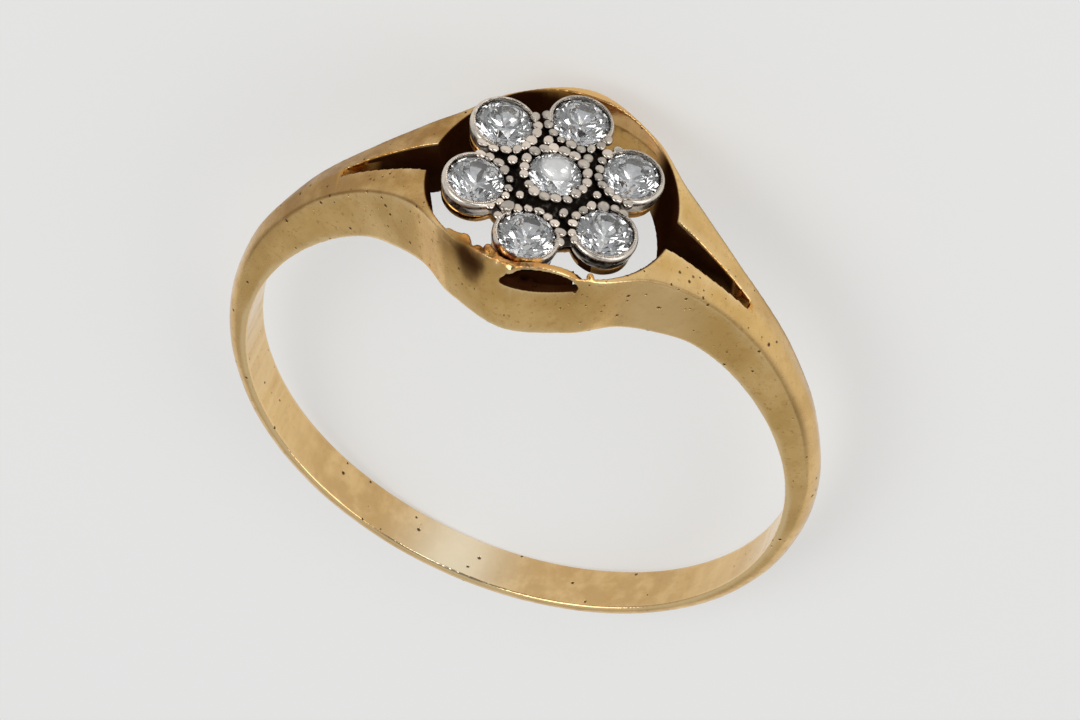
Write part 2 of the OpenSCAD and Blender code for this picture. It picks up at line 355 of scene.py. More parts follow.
def wornGold():
    look = goldLook
    material, tree, shader = newMaterial("wornGold")
    where = objectMillimetres(tree)
    wear, grime, pitted, stain, solder, warm, seam = (attribute(tree, name) for name in goldMarks)
    broad = noiseAt(where, 0.45, 4)
    fine = noiseAt(where, 3.2, 6, 0.62)
    cloud = noiseAt(where, 1.1, 5, 0.6)
    speck = noiseAt(where, 8, 3, 0.5)
    # small casting pits, only in some cells of a cell pattern
    cells = node(tree, "ShaderNodeTexVoronoi", feature="F1")
    feedAll(cells, {"Scale": look["pitsPerMillimetre"], "Vector": where})
    chance = node(tree, "ShaderNodeSeparateColor")
    feed(chance.inputs["Color"], cells.outputs["Color"])
    size = maths("ADD", times(chance.outputs["Green"], 0.22), 0.1)
    hole = ranged(maths("DIVIDE", cells.outputs["Distance"], size), 0.45, 1.15, 1.0, 0.0)
    hole = times(hole, maths("LESS_THAN", chance.outputs["Red"], times(pitted, 0.75)))

    fused = times(solder, ranged(fine, 0.35, 0.62, 0.35, 1))
    burnt = tinted(ranged(noiseAt(where, 2.1, 4), 0.42, 0.55), look["burnt"], look["solder"])
    # dirt and painted shade darken the gold, and so do the pits
    dark = times(ranged(grime, 0, 0.88), ranged(cloud, 0.25, 0.6, 0.98, 1))
    dark = maths("MAXIMUM", dark, times(hole, 0.9))
    colour = look["deep"]
    for share, tint in (
        (ranged(broad, 0.35, 0.68), look["pale"]),
        (ranged(fine, 0.5, 0.78, 0, 0.38), look["tarnish"]),
        (ranged(speck, 0.6, 0.72, 0, 0.55), look["tarnish"]),
        # paler worn edges, also a painted sheen along them
        (times(wear, 0.75), look["worn"]),
        # stains, in part painted shade, in the tarnish colour
        (times(stain, ranged(cloud, 0.3, 0.6, 0.35, 1)), look["tarnish"]),
        # painted reflection of gold in gold
        (warm, look["warm"]),
        # painted highlight low inside the band
        (seam, look["seam"]),
        (fused, burnt),
        (dark, look["grime"]),
    ):
        colour = tinted(share, colour, tint)
    rough = ranged(fine, 0.3, 0.7, look["roughLow"], look["roughHigh"])
    rough = maths("ADD", rough, times(dark, 0.4))
    rough = maths("ADD", rough, times(solder, 0.12))
    rough = maths("SUBTRACT", rough, times(wear, 0.08))

    scratches = noiseAt(where, 5, 4, 0.7, (0.3, 0.2, 0.5), (2, 14, 14))
    crossing = noiseAt(where, 4, 4, 0.7, (0.9, -0.4, 0.1), (12, 2, 12))
    skin = raised(broad, look["waveDepth"])
    skin = raised(maths("ADD", scratches, crossing), look["scratchDepth"], skin)
    skin = raised(times(fine, solder), look["crustDepth"], skin)
    skin = raised(maths("SUBTRACT", 1, hole), look["pitDepth"], skin)
    # dirt and painted shade are no metal
    feedAll(shader, {"Base Color": colour, "Roughness": rough, "Normal": skin,
                     "Metallic": ranged(grime, 0, 0.88, 1, 0), "Specular IOR Level": 0})
    return material


whiteLook = {
    "metal": (0.45, 0.40, 0.345),
    "pale": (0.76, 0.69, 0.60),
    # dark of dirt and of painted shade
    "grime": (0.012, 0.009, 0.007),
    "gilt": (0.80, 0.40, 0.10),
    "burnt": (0.14, 0.04, 0.012),
    "grain": (0.95, 0.82, 0.70),
    "roughLow": 0.2,
    "roughHigh": 0.42,
    "grainRoughLow": 0.12,
    "grainRoughHigh": 0.28,
    "waveDepth": 0.000008,
}


def wornWhiteMetal(name, bright):
    look = whiteLook
    material, tree, shader = newMaterial(name)
    where = objectMillimetres(tree)
    fine = noiseAt(where, 6, 5, 0.6)
    broad = noiseAt(where, 1.4, 3)
    grime = attribute(tree, "grime")
    colour = tinted(ranged(broad, 0.35, 0.65), look["metal"], look["pale"])
    if bright:
        colour = tinted(ranged(fine, 0.4, 0.7), look["metal"], colour)
        colour = tinted(attribute(tree, "tone"), colour, look["grain"])
        dark = times(grime, 0.97)
        rough = ranged(fine, 0.3, 0.7, look["grainRoughLow"], look["grainRoughHigh"])
    else:
        colour = tinted(times(attribute(tree, "wear"), 0.7), colour, look["pale"])
        gilt = tinted(ranged(noiseAt(where, 3.1, 4), 0.45, 0.6), look["gilt"], look["burnt"])
        colour = tinted(times(attribute(tree, "gilt"), ranged(fine, 0.3, 0.45)), colour, gilt)
        dark = times(grime, ranged(fine, 0.2, 0.5, 0.85, 1))
        rough = ranged(fine, 0.3, 0.7, look["roughLow"], look["roughHigh"])
    feedAll(shader, {"Base Color": tinted(dark, colour, look["grime"]),
                     "Roughness": maths("ADD", rough, times(dark, 0.3)),
                     "Metallic": 1, "Normal": raised(fine, look["waveDepth"])})
    return material


stoneLook = {
    "clear": (0.9, 0.9, 0.9),
    "film": (0.7, 0.7, 0.695),
    "ior": 2.05,
    "roughLow": 0.03,
    "roughHigh": 0.065,
    "clarity": 0.97,
    "milk": (0.97, 0.96, 0.94),
    "cloudClarity": 0.38,
    "cloudLevel": 0.35,
    "cloudReach": 0.45,
    "cloudEdge": 0.15,
}


def clearStone(name, cloudCentre=None):
    look = stoneLook
    material, tree, shader = newMaterial(name)
    where = objectMillimetres(tree)
    film = noiseAt(where, 3, 3)
    shade = tinted(ranged(film, 0.4, 0.7), look["film"], look["clear"])
    clarity = look["clarity"]
    if cloudCentre is not None:
        # painted reflection: the middle of this stone is milky white, standing in for the bright
        # reflection in its table
        away = node(tree, "ShaderNodeVectorMath", operation="DISTANCE")
        away.inputs[1].default_value = cloudCentre
        feed(away.inputs[0], where)
        clarity = ranged(away.outputs["Value"], look["cloudReach"] - look["cloudEdge"],
                         look["cloudReach"] + look["cloudEdge"], look["cloudClarity"], clarity)
        milky = ranged(clarity, look["cloudClarity"], look["clarity"], 1, 0)
        shade = tinted(milky, shade, look["milk"])
    rough = ranged(film, 0.45, 0.8, look["roughLow"], look["roughHigh"])
    feedAll(shader, {"Base Color": shade, "Roughness": rough, "IOR": look["ior"],
                     "Transmission Weight": clarity})
    return material


# one row for each place round the ring: angle from the head's middle, half width at the
# finger hole, half width and radius at the crease, radius at the top, roundness
sectionRows = (
    (0, 4.05, 3.58, 10.92, 10.92, 0),
    (12, 3.33, 2.86, 10.8, 10.84, 0),
    (20, 2.3, 1.8, 10.7, 10.81, 0),
    (28, 1.66, 1.2, 10.47, 10.58, 0),
    (36, 1.18, 0.86, 10.23, 10.38, 0),
    (46, 0.95, 0.69, 9.99, 10.11, 0.1),
    (60, 0.85, 0.62, 9.68, 9.83, 0.4),
    (80, 0.8, 0.62, 9.33, 9.52, 0.8),
    (110, 0.78, 0.6, 9.08, 9.34, 1),
    (145, 0.77, 0.58, 9.02, 9.36, 1),
    (180, 0.76, 0.58, 9.0, 9.41, 1),
)
shank = {
    "aroundSteps": 360,
    "sidePoints": 12,
    "topPoints": 10,
    "insideReach": 0.35,
    "wobble": 0.022,
    "wobbleSize": 1.7,
    "collarHalfLength": 3.66,
    "collarHalfWidth": 3.32,
    "taperFoot": 7.0,
    "taperTop": 10.1,
    "taperRadius": 2.75,
    "slotHalfWidth": 0.57,
    "slotMouth": 1.12,
    "slotEndHalfWidth": 0.14,
    "slotReach": 6.3,
    "rampLength": 0.6,
    "rampLevel": 7.9,
    "rampSlope": 20,
    "windowLength": 2.3,
    "windowHeight": 0.78,
    "windowSill": 10.24,
    "windowAngle": 12.5,
    "windowNear": 2.6,
    "windowFar": 4.4,
    "stripWidth": 0.13,
    "stripOuterRadius": 3.56,
    "ledgeLevel": 10.1,
    "ledgeRadius": 2.75,
    "ledgeHalfLength": 0.95,
    "voxel": 0.038,
    "smoothPasses": 8,
    "mostTriangles": 186000,
}
cutterTop = 13  # above all of the metal
windowTurn = Matrix.Rotation(math.radians(shank["windowAngle"]), 4, "Z")


def tableCurve(rows, column):
    # smooth curve through one column of a table, level where its values turn
    at = [row[0] for row in rows]
    values = [row[column] for row in rows]
    rise = np.diff(values) / np.diff(at)
    slopes = [0.0] * len(at)
    for i in range(1, len(at) - 1):
        if rise[i - 1] * rise[i] > 0:
            slopes[i] = 2 * rise[i - 1] * rise[i] / (rise[i - 1] + rise[i])

    def value(angle):
        row = max(i for i in range(len(at) - 1) if angle >= at[i])
        span = at[row + 1] - at[row]
        u = (angle - at[row]) / span
        return (
            values[row] * (1 + 2 * u) * (1 - u) ** 2
            + span * slopes[row] * u * (1 - u) ** 2
            + values[row + 1] * u * u * (3 - 2 * u)
            + span * slopes[row + 1] * u * u * (u - 1)
        )

    return value


sectionCurves = [tableCurve(sectionRows, column) for column in range(1, 6)]


def halfSection(angle):
    # from the edge of the finger hole to the middle of the top: distance aside, radius
    holeHalf, creaseHalf, creaseRadius, topRadius, roundness = (c(angle) for c in sectionCurves)
    foot = ring["fingerRadius"] + ring["edgeBevel"]
    sides, last = shank["sidePoints"], shank["sidePoints"] + shank["topPoints"]
    made = []
    for i in range(last + 1):
        flat = [np.interp(i, (0, sides, last), values) for values in
                ((holeHalf, creaseHalf, 0), (foot, creaseRadius, topRadius))]
        turn = math.pi / 2 * i / last
        domed = (holeHalf * math.cos(turn), foot + (topRadius - foot) * math.sin(turn))
        made.append(tuple(a + (b - a) * roundness for a, b in zip(flat, domed)))
    return made


def sweptBody():
    rings = []
    for step in range(shank["aroundSteps"]):
        angle = 360 * step / shank["aroundSteps"]
        turn = math.radians(angle)
        half = halfSection(min(angle, 360 - angle))
        innerSide = half[0][0] - ring["edgeBevel"] - shank["insideReach"] * 0.2
        innerRadius = ring["fingerRadius"] - shank["insideReach"]
        section = [(innerSide, innerRadius), *half]
        section += [(-y, r) for y, r in half[-2::-1]] + [(-innerSide, innerRadius)]
        rings.append([])
        for y, radius in section:
            spot = Vector((radius * math.sin(turn), y, radius * math.cos(turn)))
            if radius > ring["fingerRadius"]:
                # old hand-finished metal is never quite true
                shift = noise.noise(spot / shank["wobbleSize"]) * shank["wobble"]
                spot += Vector((math.sin(turn), 0, math.cos(turn))) * shift
            rings[-1].append(spot)
    return loft("shank", rings, True)


def collarCutter():
    # round ends with a short straight stretch between them, narrower towards the finger
    shift = shank["collarHalfLength"] - shank["collarHalfWidth"]
    rings = []
    for level, radius in ((shank["taperFoot"], shank["taperRadius"]),
                          (shank["taperTop"], shank["collarHalfWidth"]),
                          (cutterTop, shank["collarHalfWidth"])):
        plan = circle(radius, 160, 0.5)
        rings.append([(x + math.copysign(shift, x), y, level) for x, y in plan])
    return loft("collarCutter", rings)


def slotCutter(side):
    # tapered slot whose floor climbs a ramp at its far end
    start, reach = shank["collarHalfLength"] - 0.8, shank["slotReach"]
    rampStart = reach - shank["rampLength"]
    climb = math.tan(math.radians(90 - shank["rampSlope"]))
    rings = []
    for x in (*np.linspace(start, rampStart, 7), *np.linspace(rampStart, reach, 6)[1:]):
        u = (x - start) / (reach - start)
        half = shank["slotHalfWidth"] * shank["slotMouth"] * (1 - u)
        half += shank["slotEndHalfWidth"] * u
        low = 4 if x <= rampStart else min(shank["rampLevel"] + (x - rampStart) / climb, 12)
        rings.append([(side * x, -half, low), (side * x, half, low),
                      (side * x, half, cutterTop), (side * x, -half, cutterTop)])
    return loft("slotCutter", rings)


def windowArch():
    # half width, height and radius
    half, rise = shank["windowLength"] / 2, shank["windowHeight"]
    return half, rise, (half * half + rise * rise) / (2 * rise)


def archPrism(name, grow, near, far):
    # arch on a straight sill, standing in the front wall
    half, rise, radius = windowArch()
    outline = []
    for i in range(33):
        x = (half + grow) * (2 * i / 32 - 1)
        top = rise - radius + math.sqrt(max((radius + grow) ** 2 - x * x, 0))
        outline.append((x, max(top, -grow + 0.01)))
    outline += [(half + grow, -grow), (-half - grow, -grow)]
    rings = [[(x, -y, shank["windowSill"] + z) for x, z in outline] for y in (near, far)]
    return placed(loft(name, rings), windowTurn)


def ringWall(name, inner, outer, low, high, steps=160):
    return lathe(name, [(inner, low), (outer, low), (outer, high), (inner, high)], steps)


def windowStrip():
    shell = ringWall("shell", shank["collarHalfWidth"], shank["stripOuterRadius"], -1, 14)
    strip = archPrism("strip", shank["stripWidth"], shank["windowNear"], shank["windowFar"])
    return carved(strip, shell, "INTERSECT")


def solderLedge():
    half = shank["ledgeHalfLength"]
    ledge = ringWall("ledge", shank["ledgeRadius"], shank["collarHalfWidth"] + 0.15,
                     5, shank["ledgeLevel"])
    box = prism("box", [(-half, -4), (half, -4), (half, -1), (-half, -1)], 4, 12)
    return placed(carved(ledge, box, "INTERSECT"), windowTurn)


# lumps of solder on the rim: x, y, z, radius, how flat
lumpRows = (
    (-1.62, -2.95, 10.54, 0.17, 0.9),
    (2.06, -2.76, 10.58, 0.12, 1),
    (-1.25, -2.98, 10.38, 0.19, 1),
    (-1.06, -2.97, 10.32, 0.16, 1),
    (-0.95, -3.12, 10.3, 0.2, 1.1),
    (-0.62, -3.2, 10.38, 0.17, 1),
    (0.45, -3.22, 10.35, 0.16, 1),
)
# a little metal left in the window's right corner
cornerLump = (1.69, -3.0, 9.99, 0.13, 1)
# flat lip of solder left on the rim: x, y
lipOutline = ((-2.4, -2.85), (-2.25, -2.72), (-1.9, -2.76), (-1.68, -2.7), (-1.54, -2.8),
              (-1.45, -3.05), (-1.35, -3.25), (-1.9, -3.1))


def lump(x, y, z, radius, flat):
    profile = [onCircle(radius, math.pi * (i / 12 - 0.5)) for i in range(13)]
    made = lathe("lump", profile, 24)
    return placed(made, Matrix.Translation((x, y, z)) @ Matrix.Diagonal((1, 1, flat, 1)))


crust = {
    "count": 24,
    "fromTurn": 222,
    "toTurn": 300,
    "radius": 0.15,
    "spread": 0.2,
    "roughness": 0.03,
    "flat": 1.3,
    "top": 10.9,
}


def solderCrust():
    # rough solder that has run up between the front left petal and the rim
    centre = atPetal(4).translation
    made = []
    for i, turn in enumerate(np.linspace(crust["fromTurn"], crust["toTurn"], crust["count"])):
        radius = crust["radius"] * (1 + crust["spread"] * math.sin(7.3 * i))
        away = cluster["petalRadius"] + 0.03 + radius
        level = crust["top"] - radius + crust["roughness"] * math.sin(4.1 * i)
        x, y = onCircle(away, math.radians(turn))
        made.append(lump(centre.x + x, centre.y + y, level, radius, crust["flat"]))
    return made


cluster = {
    "petalPitch": 2.3,
    "petalAngle": 28.8,
    "petalRadius": 1.0,
    "petalTaper": 0.06,
    "level": 11.0,
    "slope": 5.6,
    "depth": 0.6,
    "seam": 0.04,
    "backingDepth": 0.38,
    "backingInset": 0.1,
    "backingHole": 0.42,
    "hubRadius": 2.1,
    "middleRise": 0.2,
    "middleWall": 0.34,
    "plateDrop": 0.2,
    "rimWidth": 0.12,
    "rimHeight": 0.15,
    "rimBreak": 0.3,
    "girdleDrop": 0.11,
    "petalStoneRadius": 0.84,
    "middleStoneRadius": 0.78,
    "seatGap": 0.03,
    "solderRadius": 0.34,
    "voxel": 0.034,
    "smoothPasses": 3,
    "mostTriangles": 150000,
}
backingFoot = -cluster["depth"] - cluster["seam"] - cluster["backingDepth"]
inCluster = (Matrix.Translation((0, 0, cluster["level"]))
             @ Matrix.Rotation(math.radians(cluster["slope"]), 4, "Y"))


def atPetal(number):
    return (Matrix.Rotation(math.radians(cluster["petalAngle"] + 60 * number), 4, "Z")
            @ Matrix.Translation((cluster["petalPitch"], 0, 0)))


def solidDrum(name, lowRadius, highRadius, low, high, steps=64):
    return lathe(name, [(0, low), (lowRadius, low), (highRadius, high), (0, high)], steps)


def clusterBacking():
    low, high = backingFoot, backingFoot + cluster["backingDepth"]
    rim = cluster["petalRadius"] - cluster["backingInset"]
    hub = cluster["hubRadius"] - cluster["backingInset"]
    parts = [solidDrum("backing", hub, hub, low, high, 96)]
    for number in range(6):
        # a slack edge of solder hangs below each petal
        petal = lathe("backing", [(0, low), (rim * 0.82, low), (rim, low + 0.12),
                                  (rim, high), (0, high)])
        parts.append(placed(petal, atPetal(number)))
    backing = joined("backing", parts)
    hole = cluster["backingHole"]
    holes = [placed(solidDrum("hole", hole, hole, low - 1, high + 1), where)
             for where in (Matrix(), *map(atPetal, range(6)))]
    cutAway(backing, holes, True)
    return placed(backing, inCluster)


def solderJoint(number):
    joint = solidDrum("joint", cluster["solderRadius"], cluster["solderRadius"] * 0.8,
                      backingFoot, backingFoot + cluster["backingDepth"] - 0.02, 32)
    aside = Matrix.Translation((cluster["petalRadius"] - 0.02, 0, 0))
    return placed(joint, inCluster @ atPetal(number) @ aside)


# places where the gold is pitted, stained or darkened with painted shade: x, y, z, reach, pitting,
# stain (in part painted shade), painted shade
patchRows = (
    (-5.6, -0.9, 9.3, 1.5, 1.0, 0.35, 0.0),
    (-6.8, -1.0, 8.6, 1.3, 0.8, 0.1, 0.0),
    (-3.3, -2.2, 10.1, 1.5, 0.6, 0.0, 0.0),
    (1.9, -3.4, 10.2, 0.7, 0.9, 0.8, 0.1),
    (3.6, -2.9, 9.9, 1.7, 0.75, 0.1, 0.0),
    (-1.62, -3.4, 10.42, 0.5, 0.2, 0.9, 0.85),
    (-1.15, -3.5, 10.42, 0.42, 0.1, 0.5, 0.8),
    (-1.33, -3.5, 9.95, 0.5, 0.2, 0.6, 0.7),
    (-2.2, -3.2, 10.3, 0.8, 0.2, 0.8, 0.42),
    (5.2, -1.7, 9.6, 1.8, 0.9, 0.1, 0.0),
    (7.4, -0.9, 8.0, 1.6, 0.7, 0.1, 0.0),
)


# how marks on the shank fade in: the value where nothing is seen and the one where all is
fades = {
    "wornBend": (0.006, 0.04),
    "hollowBend": (0.006, 0.03),
    "slotDepth": (0.02, 0.14),
    "archEdge": (0.11, 0.06),
    "sillEdge": (-0.16, -0.1),
    "facesOut": (0.7, 0.92),
    "collarEdge": (0.1, 0.02),
    "collarWall": (-0.1, -0.05),
    "frontWallDirt": (10.5, 10.2),
    "rearWallDirt": (10.98, 10.5),
    "ledgeEdge": (3.33, 3.23),
    "ledgeTop": (10.5, 10.3),
    "smudge": (0.05, 0.85),
    "underSmudge": (0.6, 0.1),
    "wornRim": (10.0, 10.5),
    "crustReach": (1.75, 0.9),
    "crustFoot": (9.6, 10.2),
    "crustOut": (3.6, 3.5),
    "rearRim": (10.0, 10.4),
    "rimBand": (0.25, 0.05),
    "rimTop": (10.2, 10.6),
    "slotSide": (0.6, 0.2),
    "shoulderNear": (11, 20),
    "shoulderFar": (84, 64),
}
marks = {
    "bendPasses": 14,
    "wallDirt": 0.96,
    "brightWallDirt": 0.11,
    "backingDirt": 0.35,
    "creviceDirt": 0.7,
    "creaseDirt": 0.5,
    "mostSmudge": 0.85,
    "evenPits": 0.14,
    "leftStain": 0.8,
    "rearLeftStain": 0.2,
    "leftDirt": 0.2,
    "farLeftDirt": 0.13,
    "rightStain": 0.2,
    "rightWear": 0.3,
    "frontRightWear": 0.5,
    "lowStain": 0.5,
    "rearSolder": 0.3,
    "wallWarmth": 0.85,
    # a pale painted highlight low inside the band: its strength, middle and reach
    "seamShare": 0.85,
    "seamMiddle": -1.3,
    "seamReach": 1.5,
}


# parts of the shank: a measure, where the part ends and where it is whole; radial is how far
# the surface looks out of the ring (1) or into it (-1)
shankParts = {
    "brightWall": (("x", -0.1, 0.8), ("y", 1.0, 2.0), ("x", 3.0, 2.1)),
    "leftTop": (("x", -1.5, -4), ("radial", 0.15, 0.5), ("z", 2.5, 6.5)),
    "rearSide": (("y", 0, 0.8),),
    "farLeft": (("x", -4.5, -7),),
    "rightTop": (("x", 5, 8), ("radial", 0.45, 0.8), ("z", -6, 3)),
    "frontRight": (("x", 2.4, 3.6), ("x", 7.5, 5.5), ("y", -0.9, -1.5)),
    "lowInside": (("radial", -0.5, -0.9), ("z", -4, -7)),
    "inside": (("radial", -0.4, -0.8),),
}


def faded(name, value):
    return smoothStep(*fades[name], value)


def within(part, **measures):
    # how far each spot lies in a part, from 0 to 1
    share = 1.0
    for name, end, whole in part:
        share = share * smoothStep(end, whole, measures[name])
    return share


def slotDirt(x, y, z):
    # dark inside the slots with old dirt and painted shade, darker with depth, and bright again on
    # the ramps at their ends
    depth = np.interp(np.degrees(np.arctan2(np.abs(x), z)),
                      [row[0] for row in sectionRows], [row[4] for row in sectionRows])
    depth -= np.hypot(x, z)
    start, reach = shank["collarHalfLength"], shank["slotReach"]
    half = shank["slotHalfWidth"] * (1 - np.clip((np.abs(x) - start) / (reach - start), 0, 1))
    inside = (np.abs(y) < half + 0.12) * (np.abs(x) > 3.5) * (np.abs(x) < reach + 0.1) * (z > 0)
    ramp = smoothStep(reach - 0.72, reach - 0.5, np.abs(x))
    return inside, inside * faded("slotDepth", depth) * (1 - ramp)


def creaseShade(x, y, z):
    # painted shade: a soft dark line along the crease of each shoulder, broader on its upper side
    angle = np.degrees(np.arctan2(np.abs(x), z))
    at = np.linspace(0, 180, 91)
    half, level = (np.interp(angle, at, [curve(a) for a in at]) for curve in sectionCurves[1:3])
    gap = np.hypot(np.abs(y) - half, np.hypot(x, z) - level)
    upper = smoothStep(0, 0.05, half - np.abs(y))
    width = 0.06 + upper * (0.05 + 0.13 * smoothStep(32, 60, angle))
    along = faded("shoulderNear", angle) * faded("shoulderFar", angle)
    return np.exp(-(gap / width) ** 2) * along


def windowDirt(x, y, z, normals):
    # painted shade: all of the window is dark but the outer face of the wall round it
    turn = math.radians(shank["windowAngle"])
    along = x * math.cos(turn) + y * math.sin(turn)
    outward = (normals[:, 0] * math.sin(turn) - normals[:, 1] * math.cos(turn))
    height = z - shank["windowSill"]
    _, rise, arch = windowArch()
    inside = faded("archEdge", np.hypot(along, height - rise + arch) - arch)
    inside = inside * faded("sillEdge", height) * (y < 0)
    outer = np.hypot(x, y) > shank["stripOuterRadius"] - 0.06
    # the joint of the front left petal shows in the window too
    joint = inCluster @ atPetal(4) @ Vector((cluster["petalRadius"], 0, 0))
    onJoint = (np.hypot(x - joint.x, y - joint.y) < 0.38) * (z > 9.85) * (z < 10.34)
    return np.maximum(inside * (1 - faded("facesOut", outward) * outer), onJoint)


def collarParts(x, y, z):
    # shares in the collar, on its inner wall, on the cluster's backing and on the rim
    shift = shank["collarHalfLength"] - shank["collarHalfWidth"]
    out = np.hypot(np.maximum(np.abs(x) - shift, 0), y)
    inCollar = faded("collarEdge", out - shank["collarHalfWidth"]) * (z > 8)
    taper = np.interp(z, (shank["taperFoot"], shank["taperTop"]),
                      (shank["taperRadius"], shank["collarHalfWidth"]))
    wall = inCollar * faded("collarWall", out - taper)
    backing = inCollar * (1 - wall) * (z < 10.4)
    rim = faded("rimBand", np.abs(out - 3.4)) * faded("rimTop", z)
    return inCollar, wall, backing, rim


def strongest(*values):
    return np.maximum.reduce(values)


def paintShank(obj):
    normals = spots(obj, "normal")
    x, y, z = spots(obj).T
    away, radial = np.hypot(x, y), (normals[:, 0] * x + normals[:, 2] * z) / np.hypot(x, z)
    bend = bending(obj, marks["bendPasses"])
    # worn edges are paler, and this paleness is also a painted sheen along them
    wear, crevice = faded("wornBend", bend), faded("hollowBend", -bend)
    inSlot, slotGrime = slotDirt(x, y, z)
    inCollar, wall, backing, rim = collarParts(x, y, z)
    share = {name: within(rows, x=x, y=y, z=z, radial=radial)
             for name, rows in shankParts.items()}
    bright, leftTop, rightTop = share["brightWall"], share["leftTop"], share["rightTop"]
    behindArch = windowDirt(x, y, z, normals)

    # painted shade lies deep in the collar, on the ledge and on the backing, and dirt with painted
    # shade in each hollow
    wallShare = marks["wallDirt"] + (marks["brightWallDirt"] - marks["wallDirt"]) * bright
    deep = np.where(y < 0, faded("frontWallDirt", z), faded("rearWallDirt", z))
    collarGrime = wall * deep * wallShare
    ledgeGrime = faded("ledgeEdge", away) * faded("ledgeTop", z) * (y < -2) * (np.abs(x) < 1.9)
    grime = strongest(slotGrime, collarGrime, ledgeGrime, crevice * marks["creviceDirt"],
                      backing * marks["backingDirt"], behindArch)

    pitted = stain = smudge = np.zeros(len(x))
    # each row lays pits, stain and painted shade round its place
    for px, py, pz, size, pits, mark, dirt in patchRows:
        near = np.exp(-((x - px) ** 2 + (y - py) ** 2 + (z - pz) ** 2) / size ** 2)
        pitted = np.maximum(pitted, near * pits)
        stain = np.maximum(stain, near ** 2.5 * mark)
        room = (marks["mostSmudge"] - smudge).clip(0)
        smudge = smudge + faded("smudge", near) * dirt * room
    pitted = np.maximum(pitted, marks["evenPits"]) * (1 - inSlot)
    smudge = np.maximum(smudge * (away > 3.34), marks["creaseDirt"] * creaseShade(x, y, z))
    # under painted shade the pale worn colour is held back; along the top of the bright part of the
    # rear wall it is a painted highlight
    wear = np.maximum(wear * faded("underSmudge", smudge), wall * bright * faded("wornRim", z))
    wear *= 1 - behindArch

    # the rear arms are browner than the front ones, and the left arm than the right one; on the
    # left arm this is painted shade
    leftStain = marks["leftStain"] + marks["rearLeftStain"] * share["rearSide"]
    leftDirt = marks["leftDirt"] + marks["farLeftDirt"] * share["farLeft"]
    stain = strongest(stain, leftTop * leftStain, rightTop * marks["rightStain"],
                      share["lowInside"] * marks["lowStain"])
    wear = strongest(wear, rightTop * marks["rightWear"],
                     share["frontRight"] * (z > 5) * marks["frontRightWear"])
    grime = strongest(grime, smudge, leftTop * leftDirt)

    solder = faded("crustReach", np.hypot(x + 0.45, (y + 3.2) * 1.6)) * faded("crustFoot", z)
    solder = strongest(solder * faded("crustOut", away),
                       marks["rearSolder"] * wall * bright * faded("rearRim", z))
    # painted reflection: the gold round it warms the inside of the collar, the rear rim and the
    # slot sides
    warm = strongest(inCollar * (marks["wallWarmth"] - 0.5 * bright), 0.5 * rim * (y > 0),
                     inSlot * faded("slotSide", np.abs(y))) * (z > 7)
    # painted highlight: a pale patch inside the band and low down
    seam = np.exp(-((x - marks["seamMiddle"]) / marks["seamReach"]) ** 2) * marks["seamShare"]
    seam = seam * (z < 0) * share["inside"]
    paint(obj, wear=wear, grime=grime, pitted=pitted, stain=stain, solder=solder, warm=warm,
          seam=seam)


def buildShank(material):
    body = sweptBody()
    cutAway(body, [collarCutter(), slotCutter(1), slotCutter(-1)])
    print("shank: swept body cut for the collar and the slots")
    lip = prism("lip", lipOutline, 10.3, 10.68)
    lumps = [lump(*row) for row in lumpRows]
    body = joined("shank", [body, windowStrip(), solderLedge(), lip, *lumps, *solderCrust()])
    hole = prism("hole", circle(ring["fingerRadius"], 240), -7, 7)
    placed(hole, Matrix.Rotation(math.pi / 2, 4, "X"))
    cutAway(body, [hole, archPrism("window", 0, shank["windowNear"], 5)], True)
    print("shank: finger hole and window cut")
    body = joined("shankGold", [body, clusterBacking(), solderJoint(1), solderJoint(4),
                                lump(*cornerLump)])
    blended(body, shank["voxel"], shank["smoothPasses"], shank["mostTriangles"])
    paintShank(body)
    return dressed(body, layDown, material, "shank")


def stoneSeat(stoneRadius, girdleLevel):
    # pocket down to the girdle and a cone below it
    low = girdleLevel - 0.04 * stoneRadius - cluster["seatGap"]
    wide = stoneRadius + cluster["seatGap"]
    depth = 0.86 * stoneRadius
    return lathe("seat", [(0, low - depth), (0.06, low - depth), (wide, low), (wide, 2), (0, 2)])


def petalBody():
    # upright wall with a broad rounded rim
    wide, foot = cluster["petalRadius"], cluster["petalRadius"] - cluster["petalTaper"]
    low = -cluster["depth"]
    profile = [(0, low), (foot - 0.05, low), (foot, low + 0.06), (foot + 0.02, -0.36), (wide, -0.2)]
    for i in range(1, 7):
        turn = math.pi / 2 * i / 6
        profile.append((wide - cluster["rimWidth"] * (1 - math.cos(turn)),
                        cluster["rimHeight"] * (math.sin(turn) - 1)))
    return lathe("petal", [*profile, (0, 0)], 72)


wallGap = {
    "inner": 0.88,
    "outer": 1.2,
    "low": -0.37,
    "high": -0.15,
    "fromTurn": 214,
    "toTurn": 292,
}


def wornGap():
    # a gap worn into the wall of the front right petal, under its rim
    size = [wallGap[name] for name in ("inner", "outer", "low", "high")]
    wall = ringWall("gap", *size, 96)
    turns = np.radians(np.linspace(wallGap["fromTurn"], wallGap["toTurn"], 9))
    wedge = prism("wedge", [(0, 0), *(onCircle(2, turn) for turn in turns)], -1, 1)
    carved(wall, wedge, "INTERSECT")
    return placed(wall, Matrix.Translation(atPetal(5).translation))


